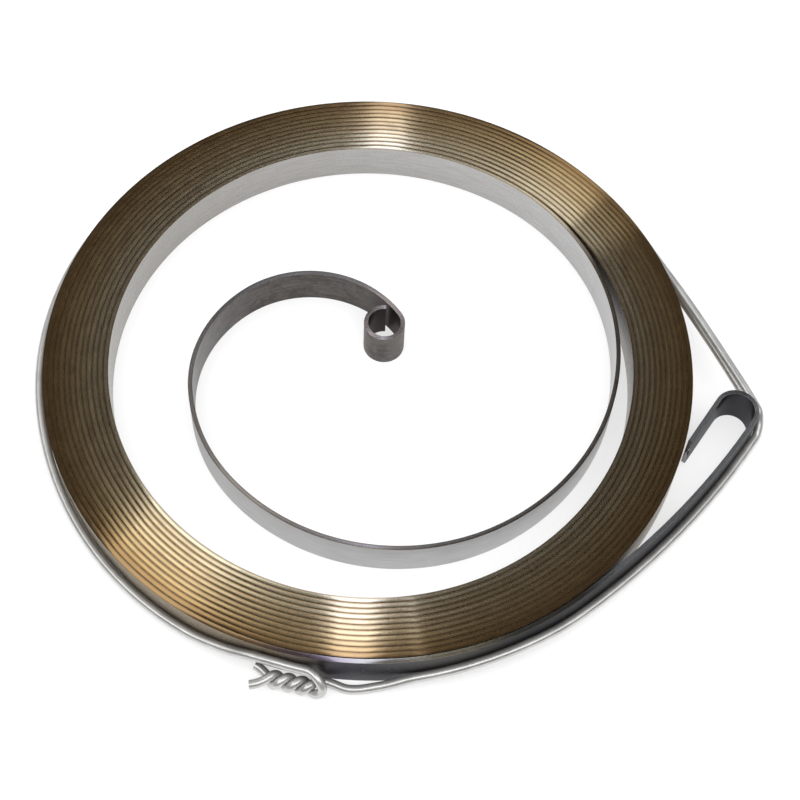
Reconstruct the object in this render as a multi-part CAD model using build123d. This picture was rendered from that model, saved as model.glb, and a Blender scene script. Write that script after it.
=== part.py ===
from build123d import *
from collections import namedtuple
from math import acos, atan2, cos, degrees, hypot, pi, radians, sin, sqrt
import os

# Spring strip, which stands on edge and is wound anticlockwise outwards, seen from above
strip_width = 5.0
strip_thickness = 0.5

# Packed turns. The angle is measured from +X, seen from above
packed_bore_radius = 29.19
packed_start_angle = 60.0
packed_half_turns = 23
packed_last_sweep = 67.8
turn_gap = 0.11

# Free inner turn, from the packed turns inwards: how much tighter than the first packed turn
# each bend is, and how far it goes round
free_turn_bends = (
    (2.77, 74.6),
    (3.22, 44.7),
    (5.29, 77.6),
    (9.76, 36.1),
    (14.67, 56.9),
    (17.22, 96.1),
)

# Eye at the inner end, and the gap that its curled end leaves to the strip
eye_bore_radius = 1.85
eye_gap = 0.25

# Hook at the outer end: a long curved arm, a hairpin tip and a short straight leg
arm_radius = 92.9
hook_bore_radius = 2.0
leg_length = 6.57
leg_gap = 0.25

# Retaining wire, and the clearance between the wire and the strip that it lies on
wire_diameter = 1.0
wire_clearance = 0.035

# Twisted ends of the wire: two strands round one level axis in front of the coil
twist_angle = 262.0
twist_turns = 1.6
twist_pitch_in_diameters = 2.85
twist_gap = 0.08
twist_standoff = 0.6
twist_start_phase = 300.0
tail_length = 2.2
tail_straightening = 2.0
steps_per_twist_turn = 4

# The wire's way out of the twist to the right: angle, distance off the coil and height of its
# centre, both in wire diameters, and how far it leans outwards
lead_places = (
    (264.4, 0.2, 0.72, 10.0),
    (268.0, 0.7, 0.6, 0.0),
    (272.7, 0.4, 0.95, -6.0),
)

# The curl that takes the wire's other end down into the twist
curl_height = 2.1
curl_out = 1.2
curl_ahead = 2.2

# Heights of the wire's centre above the resting plane, in strip widths, at even steps along
# each stretch
front_start_angle = 279.0
front_heights = (0.34, 0.47)
arm_heights = (0.34, 0.265)
tip_heights = (0.26, 0.4)
run_heights = (0.61, 0.705, 0.7)
right_heights = (0.575,)
back_heights = (0.44, 0.45, 0.465, 0.49, 0.575, 0.61, 0.28)
left_heights = (0.27, 0.42, 0.64)
left_end_angle = 260.3
left_end_height = 0.58

# Second lap of the wire, under the first one: along the straight run and behind the coil
lap_gap = 0.03
lap_end_setback = 0.8
lap_back_steps = 1

# Derived sizes
pitch = strip_thickness + turn_gap
half_strip = strip_thickness / 2
half_wire = wire_diameter / 2
packed_first_radius = packed_bore_radius + half_strip
eye_radius = eye_bore_radius + half_strip
hook_radius = hook_bore_radius + half_strip
wire_offset = half_strip + half_wire + wire_clearance
lap_drop = wire_diameter + lap_gap
twist_radius = half_wire + twist_gap / 2
twist_pitch = twist_pitch_in_diameters * wire_diameter
twist_length = twist_turns * twist_pitch

# A bend flatter than this sine counts as straight, and a turn smaller than this as none
straight_below = 1e-4
nearly_nothing = 1e-9

# An arc in plan: it starts at start degrees round its centre and turns left by sweep degrees
Bend = namedtuple("Bend", "centre radius start sweep")

# A place on the wire's centre line, with its direction there
Station = namedtuple("Station", "point direction")


def polar(radius, angle):
    """The plan vector of this length and direction."""
    return Vector(radius * cos(radians(angle)), radius * sin(radians(angle)), 0)


def bend_place(bend, sweep):
    """The point on a bend after it has turned by sweep degrees."""
    return bend.centre + polar(bend.radius, bend.start + sweep)


def next_bend(bend, radius, sweep):
    """The bend that carries on tangentially from the end of another one."""
    end_angle = bend.start + bend.sweep
    centre = bend_place(bend, bend.sweep) - polar(radius, end_angle)
    return Bend(centre, radius, end_angle, sweep)


def bend_before(bend, radius, sweep):
    """The bend that leads tangentially into the start of another one."""
    centre = bend_place(bend, 0) - polar(radius, bend.start)
    return Bend(centre, radius, bend.start - sweep, sweep)


def packed_bends():
    """Half turns whose radius grows by half the pitch each, then the last part turn."""
    centre = polar(-pitch / 4, packed_start_angle)
    bends = [Bend(centre, packed_first_radius + pitch / 4, packed_start_angle, 180.0)]
    for _ in range(packed_half_turns - 1):
        bends.append(next_bend(bends[-1], bends[-1].radius + pitch / 2, 180.0))
    bends.append(next_bend(bends[-1], bends[-1].radius + pitch / 2, packed_last_sweep))
    return bends


def eye_sweep(last_radius):
    """How far the eye curls before its end comes within the eye gap of the strip."""
    offset = last_radius - eye_radius
    outer = eye_radius + half_strip
    reach = last_radius - half_strip - eye_gap
    opening = acos((reach**2 - outer**2 - offset**2) / (2 * outer * offset))
    return 360.0 - degrees(opening)


def inner_bends(first_packed):
    """The eye and the free turn, in order from the eye to the packed turns."""
    bends = [first_packed]
    for tighter, sweep in free_turn_bends:
        bends.insert(0, bend_before(bends[0], packed_first_radius - tighter, sweep))
    bends.insert(0, bend_before(bends[0], eye_radius, eye_sweep(bends[0].radius)))
    return bends[:-1]


def arm_sweep(arm, coil):
    """How far the arm goes before the leg, coming back from it, clears the coil by its gap."""
    inset = arm_radius - 2 * hook_radius - half_strip
    leg_end = hypot(inset, leg_length)
    between = coil.centre - arm.centre
    reach = coil.radius + half_strip + leg_gap
    share = (leg_end**2 + between.length**2 - reach**2) / (2 * leg_end * between.length)
    direction = atan2(between.Y, between.X) + atan2(leg_length, inset) + acos(share)
    return (degrees(direction) - arm.start) % 360


def outer_bends(last_packed, coil):
    """The hook's arm and its hairpin tip."""
    arm = next_bend(last_packed, arm_radius, 0)
    arm = arm._replace(sweep=arm_sweep(arm, coil))
    return [arm, next_bend(arm, hook_radius, 180.0)]


def strip_outline(bends):
    """Both faces of the strip, its rounded course and its two square ends, in plan."""
    tip = bends[-1]
    leg = polar(leg_length, tip.start + tip.sweep + 90)
    outer_end = bend_place(tip._replace(radius=tip.radius + half_strip), tip.sweep)
    inner_end = bend_place(tip._replace(radius=tip.radius - half_strip), tip.sweep)
    eye = bends[0]
    edges = [Line(outer_end, outer_end + leg)]
    edges.append(Line(outer_end + leg, inner_end + leg))
    edges.append(Line(inner_end + leg, inner_end))
    edges.append(Line(eye.centre + polar(eye.radius - half_strip, eye.start),
                      eye.centre + polar(eye.radius + half_strip, eye.start)))
    for bend in bends:
        for side in (-half_strip, half_strip):
            edges.append(CenterArc(bend.centre, bend.radius + side, bend.start, bend.sweep))
    return edges


def spring_strip(bends):
    """The whole strip, one solid from the eye to the end of the hook's leg."""
    with BuildPart() as strip:
        with BuildSketch():
            with BuildLine():
                for edge in strip_outline(bends):
                    add(edge)
            make_face()
        extrude(amount=strip_width)
    return strip.part


def outside(bend):
    """The wire's course along the outer face of a bend of the strip."""
    return bend._replace(radius=bend.radius + wire_offset)


def cut_bend(bend, start, end):
    """The part of a bend between two angles."""
    turns = round((bend.start - start) / 360)
    return bend._replace(start=start + 360 * turns, sweep=end - start)


def run_angle(tip, coil):
    """The direction square to the line that touches the tip and the coil on their right."""
    across = coil.centre - tip.centre
    lean = acos((tip.radius - coil.radius) / across.length)
    return degrees(atan2(across.Y, across.X)) - degrees(lean)


def raised(height):
    """The rise to a height given in strip widths."""
    return Vector(0, 0, height * strip_width)


def plan_stations(bend, heights):
    """Places at even steps along a bend, each with its height and its heading."""
    places = []
    for index, height in enumerate(heights):
        sweep = bend.sweep * index / len(heights)
        places.append((bend_place(bend, sweep) + raised(height), bend.start + sweep + 90))
    return places


def line_stations(start, end, heading, heights):
    """Places at even steps along a straight stretch."""
    places = []
    for index, height in enumerate(heights):
        point = start + (end - start) * (index / len(heights))
        places.append((point + raised(height), heading))
    return places


def with_slopes(places):
    """Stations whose slope follows the heights of the places on both sides."""
    stations = []
    for index, (point, heading) in enumerate(places):
        before = places[max(index - 1, 0)][0]
        after = places[min(index + 1, len(places) - 1)][0]
        step = after - before
        slope = step.Z / hypot(step.X, step.Y)
        stations.append(Station(point, (polar(1, heading) + Vector(0, 0, slope)).normalized()))
    return stations


def twist_frame(coil):
    """The twist's right end, the way it runs and the way that points out from the coil."""
    out = polar(1, twist_angle)
    face = bend_place(coil, twist_angle - coil.start % 360) + out * half_strip
    start = face + out * (twist_standoff + wire_diameter + twist_gap / 2)
    along = polar(1, twist_angle - 90 - degrees(twist_length / 2 / start.length))
    height = wire_diameter + twist_gap
    return start + Vector(0, 0, height), along, out


def twist_stations(coil, phase):
    """One strand's left-handed helix from the twist's right end, and its short tail."""
    start, along, out = twist_frame(coil)
    out = (out - along * out.dot(along)).normalized()
    up = Vector(0, 0, 1)
    steps = round(twist_turns * steps_per_twist_turn)
    stations = []
    for index in range(steps + 1):
        share = index / steps
        angle = radians(phase - 360 * twist_turns * share)
        radial = out * cos(angle) + up * sin(angle)
        sideways = out * sin(angle) - up * cos(angle)
        point = start + along * (twist_length * share) + radial * twist_radius
        direction = along * twist_pitch + sideways * (2 * pi * twist_radius)
        stations.append(Station(point, direction.normalized()))
    last = stations[-1]
    tail = (last.direction + along * tail_straightening).normalized()
    end = last.point + (last.direction + tail).normalized() * tail_length
    stations.append(Station(end, tail))
    return stations


def reverse(stations):
    """The same places, passed the other way."""
    return [Station(place.point, -place.direction) for place in reversed(stations)]


def join_stations(here, there):
    """The middle and the end of two tangent arcs from one station to the next."""
    chord = there.point - here.point
    both = here.direction + there.direction
    turn = 2 * (1 - here.direction.dot(there.direction))
    if turn < nearly_nothing:
        reach = chord.dot(chord) / (4 * chord.dot(there.direction))
    else:
        lean = chord.dot(both)
        reach = (sqrt(lean**2 + turn * chord.dot(chord)) - lean) / turn
    middle = (here.point + there.point + (here.direction - there.direction) * reach) * 0.5
    return middle, there.point


def wire_piece(plane, end):
    """The wire's round surface along a tangent arc or line to end, and the plane there."""
    ring = Edge.make_circle(half_wire, plane)
    chord = end - plane.origin
    hinge = plane.z_dir.cross(chord.normalized())
    if hinge.length < straight_below:
        return Face.extrude(ring, chord), Plane(end, x_dir=plane.x_dir, z_dir=plane.z_dir)
    half_turn = acos(plane.z_dir.dot(chord.normalized()))
    hinge = hinge.normalized()
    centre = plane.origin + hinge.cross(plane.z_dir) * (chord.length / 2 / sin(half_turn))
    turn = degrees(2 * half_turn)
    side = Face.revolve(ring, turn, Axis(centre, hinge))
    spin = Axis((0, 0, 0), hinge)
    turned = Plane(end, x_dir=plane.x_dir.rotate(spin, turn), z_dir=plane.z_dir.rotate(spin, turn))
    return side, turned


def wire_end(plane):
    """The flat cut end of the wire."""
    return Face(Wire([Edge.make_circle(half_wire, plane)]))


def round_wire(stations):
    """A round wire along tangent arcs through all its stations."""
    plane = Plane(stations[0].point, z_dir=stations[0].direction)
    faces = [wire_end(plane)]
    for here, there in zip(stations, stations[1:]):
        for place in join_stations(here, there):
            side, plane = wire_piece(plane, place)
            faces.append(side)
    faces.append(wire_end(plane))
    return Solid(Shell(faces))


def lead_stations(front):
    """Places where the wire bellies out between the twist and the coil."""
    places = []
    for angle, standoff, height, lean in lead_places:
        touching = bend_place(front, angle - front.start % 360)
        away = polar(standoff, angle) + Vector(0, 0, height)
        places.append((touching + away * wire_diameter, angle + 90 - lean))
    return places


def run_places(tip, coil):
    """Places along the straight run, from the hook's tip to the coil."""
    tangent = run_angle(tip, coil)
    start = tip.centre + polar(tip.radius, tangent)
    end = coil.centre + polar(coil.radius, tangent)
    return line_stations(start, end, tangent + 90, run_heights)


def right_places(tip, coil):
    """Places along the coil from the straight run to the start of the back."""
    return plan_stations(cut_bend(coil, run_angle(tip, coil), packed_start_angle), right_heights)


def retaining_wire(packed, outer):
    """The closed loop round coil and hook, whose two ends are twisted together in front."""
    front = outside(packed[-1])
    arm, tip = [outside(bend) for bend in outer]
    right, back = [outside(bend) for bend in packed[-3:-1]]
    places = lead_stations(front)
    places += plan_stations(cut_bend(front, front_start_angle, packed_end_angle(packed)),
                            front_heights)
    places += plan_stations(arm, arm_heights)
    tip_sweep = (run_angle(tip, right) - tip.start) % 360
    places += plan_stations(tip._replace(sweep=tip_sweep), tip_heights)
    places += run_places(tip, right)
    places += right_places(tip, right)
    places += plan_stations(back, back_heights)
    places += plan_stations(cut_bend(front, front.start % 360, left_end_angle), left_heights)
    left_end = bend_place(front, left_end_angle - front.start % 360)
    places.append((left_end + raised(left_end_height), left_end_angle + 90))
    loop = with_slopes(places)
    outer_strand = twist_stations(packed[-1], twist_start_phase)
    inner_strand = twist_stations(packed[-1], twist_start_phase + 180)
    curl = curl_station(loop[-1].point, outer_strand[0].point)
    return round_wire(reverse(inner_strand) + loop + [curl] + outer_strand)


def packed_end_angle(packed):
    """The angle, under a full turn, at which the hook's arm leaves the coil."""
    return (packed[-1].start + packed[-1].sweep) % 360


def curl_station(upper, lower):
    """The far side of the curl that takes the wire down into the twist."""
    down = (lower - upper).normalized()
    around = degrees(atan2(upper.Y, upper.X))
    point = Vector(upper.X, upper.Y, curl_height) + polar(curl_out, around)
    return Station(point + polar(curl_ahead, around + 90), down)


def wire_lap(packed, outer):
    """The second, shorter lap, which lies under the first one."""
    tip = outside(outer[-1])
    coil, behind = [outside(bend) for bend in packed[-3:-1]]
    places = run_places(tip, coil) + right_places(tip, coil)
    places += plan_stations(behind, back_heights)[:lap_back_steps + 1]
    heading = places[0][1]
    places[0] = (places[0][0] + polar(lap_end_setback, heading), heading)
    lower = [(point - Vector(0, 0, lap_drop), heading) for point, heading in places]
    return round_wire(with_slopes(lower))


packed = packed_bends()
outer = outer_bends(packed[-1], packed[-3])
strip_bends = inner_bends(packed[0]) + packed + outer

os.makedirs("parts", exist_ok=True)
export_step(spring_strip(strip_bends), "parts/spring_strip.step")
export_step(retaining_wire(packed, outer), "parts/retaining_wire.step")
export_step(wire_lap(packed, outer), "parts/wire_lap.step")
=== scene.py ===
import math

import bpy
import numpy as np
from mathutils import Matrix, Vector


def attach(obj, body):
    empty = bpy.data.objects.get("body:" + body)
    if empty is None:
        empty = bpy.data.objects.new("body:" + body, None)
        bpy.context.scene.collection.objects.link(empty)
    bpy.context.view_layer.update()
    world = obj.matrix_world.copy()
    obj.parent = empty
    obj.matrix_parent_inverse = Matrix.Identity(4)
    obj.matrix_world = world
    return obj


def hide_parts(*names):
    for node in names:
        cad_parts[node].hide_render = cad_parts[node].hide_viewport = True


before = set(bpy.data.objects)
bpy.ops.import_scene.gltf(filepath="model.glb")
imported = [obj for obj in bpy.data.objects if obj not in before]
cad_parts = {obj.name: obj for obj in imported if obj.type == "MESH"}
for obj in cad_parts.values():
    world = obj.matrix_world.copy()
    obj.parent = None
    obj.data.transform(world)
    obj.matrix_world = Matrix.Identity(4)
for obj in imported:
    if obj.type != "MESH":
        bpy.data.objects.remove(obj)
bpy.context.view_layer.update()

# Lengths are in millimetres and angles in degrees, unless a comment says metres
MM = 0.001

# Spring strip, as in the solid: width, thickness and the course of its turns
STRIP_WIDTH = 5.0
STRIP_THICKNESS = 0.5
TURN_GAP = 0.11
PACKED_BORE_RADIUS = 29.19
PACKED_START_ANGLE = 60.0
PACKED_HALF_TURNS = 23
PACKED_LAST_SWEEP = 67.8
FREE_TURN_BENDS = (
    (2.77, 74.6),
    (3.22, 44.7),
    (5.29, 77.6),
    (9.76, 36.1),
    (14.67, 56.9),
    (17.22, 96.1),
)
EYE_BORE_RADIUS = 1.85
EYE_GAP = 0.25
ARM_RADIUS = 92.9
HOOK_BORE_RADIUS = 2.0
LEG_LENGTH = 6.57
LEG_GAP = 0.25

PITCH = STRIP_THICKNESS + TURN_GAP
HALF_STRIP = STRIP_THICKNESS / 2
FIRST_RADIUS = PACKED_BORE_RADIUS + HALF_STRIP
EYE_RADIUS = EYE_BORE_RADIUS + HALF_STRIP
HOOK_RADIUS = HOOK_BORE_RADIUS + HALF_STRIP

# Rounding of the strip's long edges: a shallow crown between two tight corners
CORNER_RADIUS = 0.02
CROWN_TILT = 3.0
CORNER_STEPS = 2
CROWN_STEPS = 4

# How far the turns stand unevenly, up and down and in and out, each with the lengths and
# phases of its waves along the strip
EDGE_PLAY = 0.04
EDGE_WAVES = ((97.0, 0.3), (61.0, 2.1), (37.0, 4.4))
SIDE_PLAY = 0.005
SIDE_WAVES = ((83.0, 1.1), (53.0, 3.0))

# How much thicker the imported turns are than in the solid, so that they nearly touch. This
# begins at these distances from the eye and from the hook's end, and grows over a length
SWELL = 0.095
SWELL_FROM_EYE = 140.0
SWELL_FROM_HOOK = 60.0
SWELL_GROWTH = 40.0

# Longest steps along the strip: the angle round a bend, the radius below which that angle
# may grow, the length round a bend, and the length along the straight leg
STEP_DEGREES = 1.8
TIGHT_RADIUS = 12.0
BEND_STEP = 1.8
LEG_STEP = 0.9


def polar(radius, angle):
    """The plan vector of this length and direction."""
    return radius * np.array([math.cos(math.radians(angle)), math.sin(math.radians(angle))])


def next_bend(bend, radius, sweep):
    """The bend that carries on tangentially from the end of another one."""
    centre, old_radius, start, old_sweep = bend
    end_angle = start + old_sweep
    return centre + polar(old_radius - radius, end_angle), radius, end_angle, sweep


def bend_before(bend, radius, sweep):
    """The bend that leads tangentially into the start of another one."""
    centre, old_radius, start, _ = bend
    return centre + polar(old_radius - radius, start), radius, start - sweep, sweep


def arm_sweep(arm, coil):
    """How far the arm goes before the leg, coming back from it, clears the coil by its gap."""
    inset = ARM_RADIUS - 2 * HOOK_RADIUS - HALF_STRIP
    leg_end = math.hypot(inset, LEG_LENGTH)
    between = coil[0] - arm[0]
    apart = np.hypot(*between)
    reach = coil[1] + HALF_STRIP + LEG_GAP
    opening = math.acos((leg_end**2 + apart**2 - reach**2) / (2 * leg_end * apart))
    direction = math.atan2(between[1], between[0]) + math.atan2(LEG_LENGTH, inset) + opening
    return (math.degrees(direction) - arm[2]) % 360


def eye_sweep(last_radius):
    """How far the eye curls round before its end comes within its gap of the strip."""
    offset = last_radius - EYE_RADIUS
    outer = EYE_RADIUS + HALF_STRIP
    reach = last_radius - HALF_STRIP - EYE_GAP
    opening = math.acos((reach**2 - outer**2 - offset**2) / (2 * outer * offset))
    return 360.0 - math.degrees(opening)


def strip_bends():
    """Every bend of the strip's centre line, from the eye to the hook's tip."""
    start_centre = polar(-PITCH / 4, PACKED_START_ANGLE)
    packed = [(start_centre, FIRST_RADIUS + PITCH / 4, PACKED_START_ANGLE, 180.0)]
    for index in range(PACKED_HALF_TURNS):
        sweep = 180.0 if index < PACKED_HALF_TURNS - 1 else PACKED_LAST_SWEEP
        packed.append(next_bend(packed[-1], packed[-1][1] + PITCH / 2, sweep))
    free = []
    following = packed[0]
    for tighter, sweep in FREE_TURN_BENDS:
        following = bend_before(following, FIRST_RADIUS - tighter, sweep)
        free.insert(0, following)
    eye = bend_before(following, EYE_RADIUS, eye_sweep(following[1]))
    arm = next_bend(packed[-1], ARM_RADIUS, 0.0)
    arm = arm[:3] + (arm_sweep(arm, packed[-3]),)
    tip = next_bend(arm, HOOK_RADIUS, 180.0)
    return [eye] + free + packed + [arm, tip]


def strip_course():
    """Points along the strip's centre line, the direction off it at each, and distances."""
    bends = strip_bends()
    points = []
    outward = []
    for centre, radius, start, sweep in bends:
        length = math.radians(sweep) * radius
        coarser = max(1.0, TIGHT_RADIUS / radius)
        steps = max(math.ceil(sweep / STEP_DEGREES / coarser), math.ceil(length / BEND_STEP))
        for index in range(steps):
            angle = start + sweep * index / steps
            points.append(centre + polar(radius, angle))
            outward.append(polar(1, angle))
    centre, radius, start, sweep = bends[-1]
    end_angle = start + sweep
    leg_start = centre + polar(radius, end_angle)
    leg = polar(LEG_LENGTH, end_angle + 90)
    steps = math.ceil(np.hypot(*leg) / LEG_STEP)
    for index in range(steps + 1):
        points.append(leg_start + leg * index / steps)
        outward.append(polar(1, end_angle))
    points = np.array(points)
    gaps = np.hypot(*np.diff(points, axis=0).T)
    return points, np.array(outward), np.concatenate([[0.0], np.cumsum(gaps)])


def strip_section():
    """The rounded section as places across and up, with the normal at each."""
    tilt = math.radians(CROWN_TILT)
    level = math.radians(90)
    crown_radius = (HALF_STRIP - CORNER_RADIUS) / math.sin(tilt) + CORNER_RADIUS
    crown_base = STRIP_WIDTH / 2 - EDGE_PLAY - crown_radius
    corner_across = HALF_STRIP - CORNER_RADIUS
    corner_up = crown_base + (crown_radius - CORNER_RADIUS) * math.cos(tilt)
    top = []
    for index in range(CORNER_STEPS + 1):
        lean = level + (tilt - level) * index / CORNER_STEPS
        side, rise = math.sin(lean), math.cos(lean)
        across = corner_across + CORNER_RADIUS * side
        top.append((across, corner_up + CORNER_RADIUS * rise, side, rise))
    for index in range(1, CROWN_STEPS):
        lean = tilt - 2 * tilt * index / CROWN_STEPS
        side, rise = math.sin(lean), math.cos(lean)
        top.append((crown_radius * side, crown_base + crown_radius * rise, side, rise))
    for across, up, side, rise in reversed(top[:CORNER_STEPS + 1]):
        top.append((-across, up, -side, rise))
    return np.array(top + [(-across, -up, -side, -rise) for across, up, side, rise in top])


def unevenness(along, waves):
    """A smooth course between -1 and 1 that differs from turn to turn."""
    return sum(np.sin(along * 2 * math.pi / length + phase) for length, phase in waves) / len(waves)


def mesh_object(name, vertices, faces, normals=None):
    """A smooth mesh object."""
    mesh = bpy.data.meshes.new(name)
    mesh.from_pydata(vertices, [], faces)
    mesh.polygons.foreach_set("use_smooth", [True] * len(mesh.polygons))
    if normals is not None:
        mesh.normals_split_custom_set_from_vertices(normals)
    mesh.update()
    piece = bpy.data.objects.new(name, mesh)
    bpy.context.scene.collection.objects.link(piece)
    return piece


def set_attribute(piece, name, values):
    """Give each vertex a number, or a vector where the values are rows of three."""
    kind, field = ("FLOAT_VECTOR", "vector") if values.ndim == 2 else ("FLOAT", "value")
    attribute = piece.data.attributes.new(name, kind, "POINT")
    attribute.data.foreach_set(field, values.astype(np.float32).ravel())


def build_strip():
    """The whole strip with rounded edges, and what its material needs at each vertex."""
    points, outward, along = strip_course()
    section = strip_section()
    count = len(section)
    rows = len(points)
    lift = EDGE_PLAY * unevenness(along, EDGE_WAVES)
    packed = np.clip((along - SWELL_FROM_EYE) / SWELL_GROWTH, 0, 1)
    packed = packed * np.clip((along[-1] - SWELL_FROM_HOOK - along) / SWELL_GROWTH, 0, 1)
    shift = SIDE_PLAY * packed * unevenness(along, SIDE_WAVES)
    inner_half = np.where(section[:, 0] < 0, section[:, 0] / HALF_STRIP, 0.0)

    across = section[None, :, 0] + shift[:, None] + SWELL * packed[:, None] * inner_half[None, :]
    up = section[None, :, 1] + lift[:, None] + STRIP_WIDTH / 2
    flat = points[:, None, :] + outward[:, None, :] * across[:, :, None]
    vertices = np.concatenate([flat, up[:, :, None]], axis=2).reshape(-1, 3) * MM
    sides = outward[:, None, :] * section[None, :, 2, None]
    rises = np.broadcast_to(section[None, :, 3, None], (rows, count, 1))
    normals = np.concatenate([sides, rises], axis=2).reshape(-1, 3)

    first = np.arange(rows - 1)[:, None] * count
    here = first + np.arange(count)[None, :]
    beside = first + (np.arange(count)[None, :] + 1) % count
    quads = np.stack([here, here + count, beside + count, beside], axis=2).reshape(-1, 4)
    eye_end = list(range(count))
    hook_end = list(range((rows - 1) * count, rows * count))[::-1]
    faces = quads.tolist() + [eye_end, hook_end]

    piece = mesh_object("spring_strip_rounded", vertices.tolist(), faces, normals.tolist())
    courses = np.stack([-outward[:, 1], outward[:, 0], np.zeros(rows)], axis=1)
    set_attribute(piece, "side", np.tile(section[:, 0] / HALF_STRIP, rows))
    set_attribute(piece, "from_eye", np.repeat(along * MM, count))
    set_attribute(piece, "course", np.repeat(courses, count, axis=0))
    set_attribute(piece, "from_hook", np.repeat((along[-1] - along) * MM, count))
    return piece


class Graph:
    """Short calls for a material's nodes."""

    def __init__(self, name):
        self.material = bpy.data.materials.new(name)
        self.material.use_nodes = True
        self.tree = self.material.node_tree
        self.shader = self.tree.nodes["Principled BSDF"]
        self.output = self.tree.nodes["Material Output"]

    def node(self, kind, **settings):
        made = self.tree.nodes.new(kind)
        for key, value in settings.items():
            setattr(made, key, value)
        return made

    def put(self, socket, value):
        if isinstance(value, bpy.types.NodeSocket):
            self.tree.links.new(value, socket)
        elif isinstance(value, tuple) and len(value) == 3 and socket.type == "RGBA":
            socket.default_value = (*value, 1.0)
        else:
            socket.default_value = value

    def math(self, operation, *values):
        made = self.node("ShaderNodeMath", operation=operation)
        for socket, value in zip(made.inputs, values):
            self.put(socket, value)
        return made.outputs[0]

    def span(self, value, low, high, out_low=0.0, out_high=1.0, smooth=True):
        """value mapped from low..high to out_low..out_high, clamped."""
        kind = "SMOOTHSTEP" if smooth else "LINEAR"
        made = self.node("ShaderNodeMapRange", interpolation_type=kind)
        for socket, number in zip(made.inputs, (value, low, high, out_low, out_high)):
            self.put(socket, number)
        return made.outputs[0]

    def stretch(self, distance, ends, *levels):
        """span over a stretch whose ends are in millimetres."""
        return self.span(distance, ends[0] * MM, ends[1] * MM, *levels)

    def mix(self, share, first, second):
        made = self.node("ShaderNodeMix", data_type="RGBA")
        self.put(made.inputs["Factor"], share)
        self.put(made.inputs[6], first)
        self.put(made.inputs[7], second)
        return made.outputs[2]

    def attribute(self, name, output="Fac"):
        return self.node("ShaderNodeAttribute", attribute_name=name).outputs[output]

    def place(self):
        return self.node("ShaderNodeTexCoord").outputs["Object"]

    def split(self, vector):
        made = self.node("ShaderNodeSeparateXYZ")
        self.put(made.inputs[0], vector)
        return made.outputs

    def join(self, x, y, z):
        made = self.node("ShaderNodeCombineXYZ")
        for socket, value in zip(made.inputs, (x, y, z)):
            self.put(socket, value)
        return made.outputs[0]

    def plan_distance(self, x, y):
        """How far a place is from the coil's axis, in plan."""
        squares = [self.math("POWER", part, 2.0) for part in (x, y)]
        return self.math("SQRT", self.math("ADD", *squares))

    def noise(self, vector, scale, detail, roughness=0.55):
        made = self.node("ShaderNodeTexNoise")
        self.put(made.inputs["Vector"], vector)
        self.put(made.inputs["Scale"], scale)
        self.put(made.inputs["Detail"], detail)
        self.put(made.inputs["Roughness"], roughness)
        return made.outputs[0]

    def ramp(self, value, stops):
        made = self.node("ShaderNodeValToRGB")
        self.put(made.inputs[0], value)
        elements = made.color_ramp.elements
        for element, (position, colour) in zip(elements, (stops[0], stops[-1])):
            element.position = position
            element.color = (*colour, 1.0)
        for position, colour in stops[1:-1]:
            elements.new(position).color = (*colour, 1.0)
        return made.outputs[0]

    def bump(self, strength, height):
        made = self.node("ShaderNodeBump")
        self.put(made.inputs["Strength"], strength)
        self.put(made.inputs["Distance"], BUMP_DEPTH)
        self.put(made.inputs["Height"], height)
        self.put(self.shader.inputs["Normal"], made.outputs[0])


# Depth of the fine surface marks, in metres
BUMP_DEPTH = 0.00002

# How steeply a surface faces up where the strip's flat faces give way to its long edges, for
# its colour and for its polish
EDGE_RISE = (0.12, 0.45)
POLISH_RISE = (0.2, 0.6)

# Painted shade in the creases between turns: where the darkening towards a turn's two
# long corners starts, as a share of the way to them, and how dark it gets
CORNER_SHADE_START = 0.15
CORNER_SHADE_DEPTH = 0.9

# How much the marks are drawn out along the strip, and up it, for the rolled and broad ones
ROLLED_ALONG = 0.06
BROAD_UP = 2.0

# Surface noises of the strip: scale per metre, detail and, for the last, roughness
BROAD = (28.0, 2.0)
FINE = (420.0, 3.0)
SPECKS = (2600.0, 2.0)
ROLLED = (4200.0, 4.0)
BLOTCHES = (620.0, 4.0, 0.7)

# Stretches over which the strip's surface changes, measured from the eye
EYE_END = (13.0, 18.0)
DULL_END = (28.0, 62.0)
ROUGH_EYE_END = (26.0, 150.0)
FREE_EDGE_END = (118.0, 150.0)
BORE_START = (110.0, 200.0)
INNER_FACES_START = (330.0, 345.0)

# The same, measured from the hook's end
ROUGH_HOOK_END = (50.0, 66.0)
HEAT_END = (78.0, 87.0)
HEAT_RAMP = (0.0, 100.0)
OUTER_TURN_END = (300.0, 330.0)

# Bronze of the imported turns' long edges, from the first radius to the second: paler inside,
# redder outside
BRONZE_RADII = (29.6, 36.8)
BRONZE_STOPS = (
    (0.0, (0.80, 0.70, 0.51)),
    (0.25, (0.75, 0.62, 0.40)),
    (0.42, (0.71, 0.545, 0.32)),
    (0.58, (0.65, 0.48, 0.25)),
    (0.75, (0.54, 0.36, 0.165)),
    (0.84, (0.42, 0.25, 0.105)),
    (1.0, (0.35, 0.225, 0.11)),
)
BRONZE_CLOUD = (0.40, 0.26, 0.13)
BRONZE_MARK = (0.28, 0.19, 0.11)
FREE_EDGE = (0.28, 0.265, 0.255)
# Painted shade at a turn's two long corners, where the turns meet
EDGE_CORNER_SHADE = (0.215, 0.135, 0.065)

# Rolled steel of the flat faces: its darkest and lightest marks, and its clouds
STEEL = ((0.44, 0.44, 0.445), (0.545, 0.54, 0.545))
STEEL_CLOUD = (0.41, 0.40, 0.39)
# Painted shade: darker, warmer steel for the faces lining the imported turns' bore
SHADED_BORE_STEEL = ((0.32, 0.308, 0.288), (0.375, 0.36, 0.336))
OUTER_FACE = (0.25, 0.20, 0.14)

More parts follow.
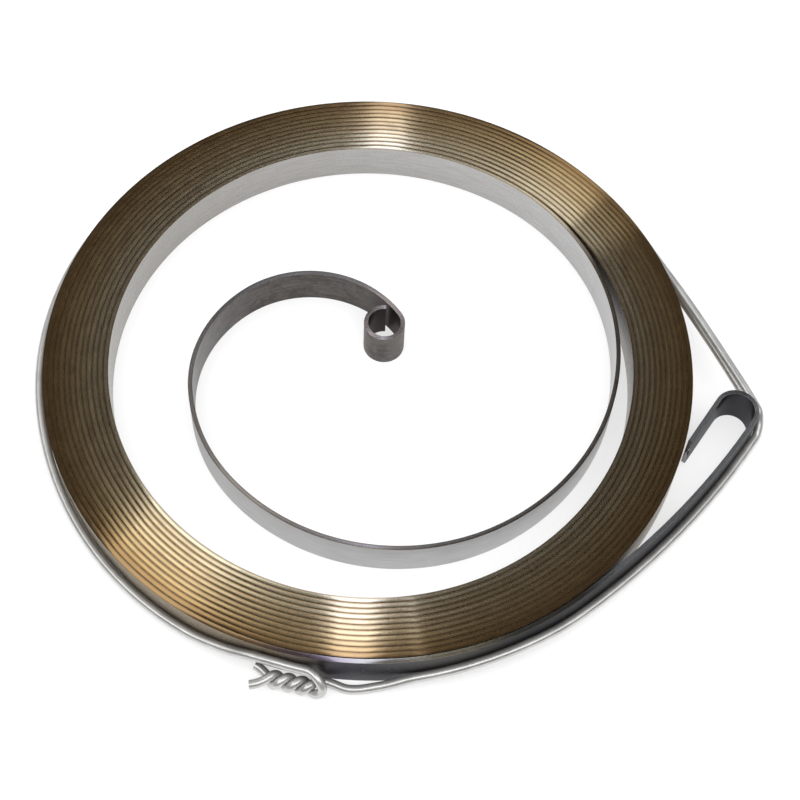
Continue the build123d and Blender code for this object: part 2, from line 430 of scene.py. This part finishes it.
# Heat tint of the long edges and of the flat faces, from the hook's end along the strip
EDGE_HEAT_STOPS = (
    (0.0, (0.26, 0.26, 0.265)),
    (0.37, (0.30, 0.30, 0.305)),
    (0.43, (0.08, 0.07, 0.06)),
    (0.52, (0.10, 0.09, 0.075)),
    (0.59, (0.43, 0.37, 0.25)),
    (0.65, (0.44, 0.40, 0.34)),
    (0.68, (0.35, 0.31, 0.27)),
    (0.72, (0.22, 0.17, 0.19)),
    (0.76, (0.22, 0.15, 0.14)),
    (0.81, (0.44, 0.285, 0.14)),
    (1.0, (0.5, 0.35, 0.2)),
)
FACE_HEAT_STOPS = (
    (0.0, (0.05, 0.05, 0.055)),
    (0.12, (0.05, 0.05, 0.055)),
    (0.22, (0.022, 0.022, 0.025)),
    (0.5, (0.022, 0.022, 0.025)),
    (0.58, (0.07, 0.067, 0.06)),
    (0.66, (0.035, 0.033, 0.042)),
    (0.71, (0.02, 0.016, 0.03)),
    (0.77, (0.23, 0.19, 0.135)),
    (1.0, OUTER_FACE),
)

# Dull steel near the eye and worn steel round it, each with its darkest and lightest marks
DULL = ((0.085, 0.078, 0.074), (0.135, 0.124, 0.116))
WORN = ((0.115, 0.105, 0.10), (0.175, 0.162, 0.15))
DULL_SPECK = (0.19, 0.165, 0.155)
DULL_BLOTCH = (0.055, 0.048, 0.045)
DULL_RIM = (0.24, 0.22, 0.21)
# Painted shade inside the eye's curl
EYE_INSIDE_SHADE = (0.05, 0.038, 0.035)
EYE_RIM = (0.42, 0.35, 0.335)


def strip_material():
    """Tempered strip steel: bronze edges, grey faces, a blued hook and a dulled eye."""
    g = Graph("tempered_strip_steel")
    normal = g.node("ShaderNodeNewGeometry").outputs["Normal"]
    place = g.place()
    x, y, z = g.split(place)
    rise = g.math("ABSOLUTE", g.split(normal)[2])
    on_edge = g.span(rise, *EDGE_RISE)
    from_eye = g.attribute("from_eye")
    from_hook = g.attribute("from_hook")
    side = g.attribute("side")

    # Clouds and marks that run along the strip, and specks all over it
    along = g.join(from_eye, g.math("MULTIPLY", z, BROAD_UP), 0.0)
    broad = g.noise(along, *BROAD)
    fine = g.noise(along, *FINE)
    specks = g.noise(place, *SPECKS)
    blotches = g.noise(place, *BLOTCHES)
    rolled = g.noise(g.join(g.math("MULTIPLY", from_eye, ROLLED_ALONG), z, 0.0), *ROLLED)

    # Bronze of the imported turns
    radius = g.plan_distance(x, y)
    bronze = g.ramp(g.stretch(radius, BRONZE_RADII, 0.0, 1.0, False), BRONZE_STOPS)
    bronze = g.mix(g.span(broad, 0.35, 0.65, 0.0, 0.45), bronze, BRONZE_CLOUD)
    bronze = g.mix(g.span(fine, 0.4, 0.7, 0.0, 0.15), bronze, BRONZE_MARK)

    # Grey faces, with painted shade: darker and warmer where they line the imported turns' bore
    steel = g.mix(g.span(rolled, 0.3, 0.7), *STEEL)
    steel = g.mix(g.span(broad, 0.3, 0.7, 0.0, 0.3), steel, STEEL_CLOUD)
    bore = g.mix(g.span(rolled, 0.3, 0.7), *SHADED_BORE_STEEL)
    # Painted shade on the bore faces, from the stretch measured from the eye
    steel = g.mix(g.stretch(from_eye, BORE_START), steel, bore)

    # The outermost turn has brown faces, and the faces between turns are as bronze as the edges
    before_outer_turn = g.stretch(from_hook, OUTER_TURN_END)
    steel = g.mix(before_outer_turn, OUTER_FACE, steel)
    between_turns = g.math("MULTIPLY", g.stretch(from_eye, INNER_FACES_START), before_outer_turn)
    steel = g.mix(between_turns, steel, bronze)

    # The free turn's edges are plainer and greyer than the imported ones
    edge = g.mix(g.stretch(from_eye, FREE_EDGE_END, 1.0, 0.0), bronze, FREE_EDGE)
    # Painted shade darkens each edge towards its two corners, between the turns
    line = g.span(g.math("ABSOLUTE", side), CORNER_SHADE_START, 1.0, 0.0, CORNER_SHADE_DEPTH)
    edge = g.mix(line, edge, EDGE_CORNER_SHADE)
    tint = g.mix(on_edge, steel, edge)

    # Heat tint towards the hook: brown, purple, blue, then blued black
    hook_share = g.stretch(from_hook, HEAT_RAMP, 0.0, 1.0, False)
    heat = g.mix(on_edge, g.ramp(hook_share, FACE_HEAT_STOPS), g.ramp(hook_share, EDGE_HEAT_STOPS))
    tint = g.mix(g.stretch(from_hook, HEAT_END, 1.0, 0.0), tint, heat)

    # Dull brown-grey stretch at the eye, with painted shade darkest inside it, and a lighter
    # pinkish rim
    eye = g.stretch(from_eye, EYE_END, 1.0, 0.0)
    dull = g.mix(g.span(rolled, 0.35, 0.65), *DULL)
    worn = g.mix(g.span(rolled, 0.35, 0.65), *WORN)
    dull = g.mix(eye, dull, worn)
    dull = g.mix(g.span(specks, 0.4, 0.7, 0.0, 0.35), dull, DULL_SPECK)
    dull = g.mix(g.span(blotches, 0.45, 0.62, 0.0, 0.5), dull, DULL_BLOTCH)
    # Painted shade on the inner face inside the eye's curl
    eye_inside_shade = g.math("MULTIPLY", eye, g.span(side, -1.0, -0.9, 1.0, 0.0))
    dull = g.mix(eye_inside_shade, dull, EYE_INSIDE_SHADE)
    dull = g.mix(on_edge, dull, g.mix(eye, DULL_RIM, EYE_RIM))
    tint = g.mix(g.stretch(from_eye, DULL_END, 1.0, 0.0), tint, dull)
    g.put(g.shader.inputs["Base Color"], tint)
    g.put(g.shader.inputs["Metallic"], 1.0)

    # Fine marks along the strip spread its reflections across it
    sideways = g.node("ShaderNodeVectorMath", operation="CROSS_PRODUCT")
    g.put(sideways.inputs[0], normal)
    g.put(sideways.inputs[1], g.attribute("course", "Vector"))
    g.put(g.shader.inputs["Tangent"], sideways.outputs[0])
    g.put(g.shader.inputs["Anisotropic"], g.span(rise, *POLISH_RISE, 0.7, 1.0))

    # The edges are polished, and the eye and the hook are rougher
    marks = g.span(fine, 0.3, 0.7, -0.01, 0.02)
    roughness = g.math("ADD", g.span(rise, *POLISH_RISE, 0.27, 0.09), marks)
    roughness = g.math("ADD", roughness, g.stretch(from_eye, ROUGH_EYE_END, 0.15, 0.0))
    roughness = g.math("ADD", roughness, g.stretch(from_hook, ROUGH_HOOK_END, 0.15, 0.0))
    g.put(g.shader.inputs["Roughness"], roughness)
    relief = g.math("ADD", rolled, g.math("MULTIPLY", specks, 0.6))
    g.bump(g.span(rise, *POLISH_RISE, 0.12, 0.01), relief)
    return g.material


# Drawn wire: noises as for the strip, its darkest and lightest clouds, and its dull specks
WIRE_CLOUDS = (420.0, 3.0)
WIRE_SPECKS = (3200.0, 2.0)
WIRE_STEEL = ((0.52, 0.515, 0.50), (0.61, 0.605, 0.59))
WIRE_SPECK = (0.45, 0.44, 0.41)


def wire_material():
    """Bright drawn wire with faint wear."""
    g = Graph("drawn_wire")
    place = g.place()
    clouds = g.noise(place, *WIRE_CLOUDS)
    specks = g.noise(place, *WIRE_SPECKS)
    colour = g.mix(g.span(clouds, 0.35, 0.65), *WIRE_STEEL)
    colour = g.mix(g.span(specks, 0.6, 0.85, 0.0, 0.12), colour, WIRE_SPECK)
    g.put(g.shader.inputs["Base Color"], colour)
    g.put(g.shader.inputs["Metallic"], 0.75)
    g.put(g.shader.inputs["Roughness"], g.span(clouds, 0.3, 0.7, 0.29, 0.35))
    g.bump(0.02, specks)
    return g.material


# Floor, in metres: half its size, and how far it lies below the object
FLOOR_HALF = 3.0
FLOOR_DROP = 0.00002

# The floor's own glow: its share near the object, and the distances in metres over which
# that grows to the whole
GLOW_NEAR = 0.6
GLOW_START = 0.08
GLOW_FULL = 0.3


def build_floor():
    """A plain white floor that keeps the object's soft shadow."""
    signs = ((-1, -1), (1, -1), (1, 1), (-1, 1))
    corners = [(x * FLOOR_HALF, y * FLOOR_HALF, -FLOOR_DROP) for x, y in signs]
    floor = mesh_object("floor", corners, [[0, 1, 2, 3]])
    g = Graph("white_floor")
    g.put(g.shader.inputs["Base Color"], (0.9, 0.9, 0.9))
    g.put(g.shader.inputs["Roughness"], 0.9)
    g.put(g.shader.inputs["Specular IOR Level"], 0.0)
    glow = g.node("ShaderNodeEmission")
    g.put(glow.inputs["Color"], (1.0, 1.0, 1.0))
    g.put(glow.inputs["Strength"], 1.0)
    rays = g.node("ShaderNodeLightPath")
    seen = g.math("MAXIMUM", rays.outputs["Is Camera Ray"], rays.outputs["Is Glossy Ray"])
    x, y, _ = g.split(g.place())
    share = g.span(g.plan_distance(x, y), GLOW_START, GLOW_FULL, GLOW_NEAR, 1.0)
    blend = g.node("ShaderNodeMixShader")
    g.put(blend.inputs[0], g.math("MULTIPLY", seen, share))
    g.put(blend.inputs[1], g.shader.outputs[0])
    g.put(blend.inputs[2], glow.outputs[0])
    g.put(g.output.inputs[0], blend.outputs[0])
    floor.data.materials.append(g.material)


# Camera, worked out from the coil's own circles: where it stands, how it is turned, and its
# lens. The clipping distances are in metres
CAMERA_PLACE = (-0.547, -101.549, 173.447)
CAMERA_RIGHT = (0.99950854, 0.01093585, 0.02937844)
CAMERA_UP = (-0.02403177, 0.86907241, 0.49410082)
CAMERA_LENS = 78.657
SENSOR_WIDTH = 36.0
CLIP_NEAR = 0.01
CLIP_FAR = 20.0


def build_camera():
    """The photograph's viewpoint."""
    data = bpy.data.cameras.new("camera")
    data.sensor_width = SENSOR_WIDTH
    data.lens = CAMERA_LENS
    data.clip_start = CLIP_NEAR
    data.clip_end = CLIP_FAR
    camera = bpy.data.objects.new("camera", data)
    right = Vector(CAMERA_RIGHT)
    up = Vector(CAMERA_UP)
    turn = Matrix((right, up, right.cross(up))).transposed().to_4x4()
    camera.matrix_world = Matrix.Translation(Vector(CAMERA_PLACE) * MM) @ turn
    bpy.context.scene.collection.objects.link(camera)
    bpy.context.scene.camera = camera


# How bright the surroundings are as light, and to the camera beyond the floor's edge
WORLD_LEVEL = 0.1
SEEN_LEVEL = 1.0

# Lamps' colours
WHITE = (1.0, 1.0, 1.0)
PALE = (0.94, 0.98, 1.0)
COOL = (0.68, 0.765, 1.0)

# Soft lamps: name, place and size in metres, brightness, and whether reflections show them
SOFT_LAMPS = (
    ("fill", (0.0, 0.0, 1.2), (2.4, 2.4), 1.7, False),
    ("front_soft", (0.0, -0.32, 0.75), (1.5, 0.4), 2.4, True),
    ("left_soft", (-0.55, 0.3, 0.7), (0.35, 0.9), 1.6, True),
    ("right_soft", (0.55, 0.3, 0.7), (0.35, 0.9), 1.2, True),
)

# The flat top edges mirror each of these lamps as a bright fan across the turns: name,
# direction of the fan, its spread, the lamp's height in metres, brightness and colour.
# The fans are set out on the middle turn, and the lamps' length is in metres
MIDDLE_RADIUS = 32.7
FAN_LAMP_LENGTH = 0.3
FAN_LAMPS = (
    ("broad_front", 231.9, 24.4, 0.7, 1.48, PALE),
    ("broad_back", 49.0, 19.0, 0.7, 0.80, PALE),
    ("shoulder_back", 35.5, 10.0, 0.71, 0.34, PALE),
    ("narrow_front", 268.0, 8.0, 0.705, 3.1, COOL),
    ("narrow_back", 87.5, 8.2, 0.705, 2.2, COOL),
    ("between_front", 265.0, 42.0, 0.715, 0.125, PALE),
    ("between_back", 84.0, 46.0, 0.715, 0.13, PALE),
    ("thin_front", 278.8, 1.2, 0.705, 1.1, COOL),
)


def overhead(name, place, size, azimuth, brightness, colour, glossy):
    """A level lamp that shines down: place and size in metres, and how bright its face is."""
    data = bpy.data.lights.new(name, "AREA")
    data.shape = "RECTANGLE"
    data.size = size[0]
    data.size_y = size[1]
    data.energy = brightness * math.pi * size[0] * size[1]
    data.color = colour
    lamp = bpy.data.objects.new(name, data)
    lamp.location = place
    lamp.rotation_euler = (0.0, 0.0, math.radians(azimuth))
    lamp.visible_glossy = glossy
    bpy.context.scene.collection.objects.link(lamp)


def fan_lamp(name, azimuth, spread, height, brightness, colour):
    """A lamp that the top edges mirror to the camera in this direction from the coil's middle."""
    camera = np.array(CAMERA_PLACE) * MM
    top = STRIP_WIDTH * MM
    scale = (height - top) / (camera[2] - top)
    ring = (1 + scale) * MIDDLE_RADIUS * MM
    place = polar(ring, azimuth) - scale * camera[:2]
    width = 2 * ring * math.sin(math.radians(spread / 2))
    size = (FAN_LAMP_LENGTH, width)
    overhead(name, (place[0], place[1], height), size, azimuth, brightness, colour, True)


def build_world():
    """Surroundings that are dim as light and white to the camera."""
    world = bpy.data.worlds.new("studio")
    world.use_nodes = True
    nodes = world.node_tree.nodes
    background = nodes["Background"]
    background.inputs[0].default_value = (*WHITE, 1.0)
    rays = nodes.new("ShaderNodeLightPath")
    level = nodes.new("ShaderNodeMapRange")
    level.inputs["To Min"].default_value = WORLD_LEVEL
    level.inputs["To Max"].default_value = SEEN_LEVEL
    world.node_tree.links.new(rays.outputs["Is Camera Ray"], level.inputs["Value"])
    world.node_tree.links.new(level.outputs[0], background.inputs[1])
    bpy.context.scene.world = world


def build_light():
    """Soft lamps, and the lamps that the strip's top edges mirror."""
    for name, place, size, brightness, glossy in SOFT_LAMPS:
        overhead(name, place, size, 0.0, brightness, WHITE, glossy)
    for lamp in FAN_LAMPS:
        fan_lamp(*lamp)


strip = build_strip()
strip.data.materials.append(strip_material())
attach(strip, "root")
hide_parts("spring_strip")

# The wire's solids keep their shapes
wire = wire_material()
for node in ("retaining_wire", "wire_lap"):
    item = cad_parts[node]
    item.data.materials.clear()
    item.data.materials.append(wire)

build_floor()
build_camera()
build_world()
build_light()
bpy.context.scene.view_settings.view_transform = "Standard"
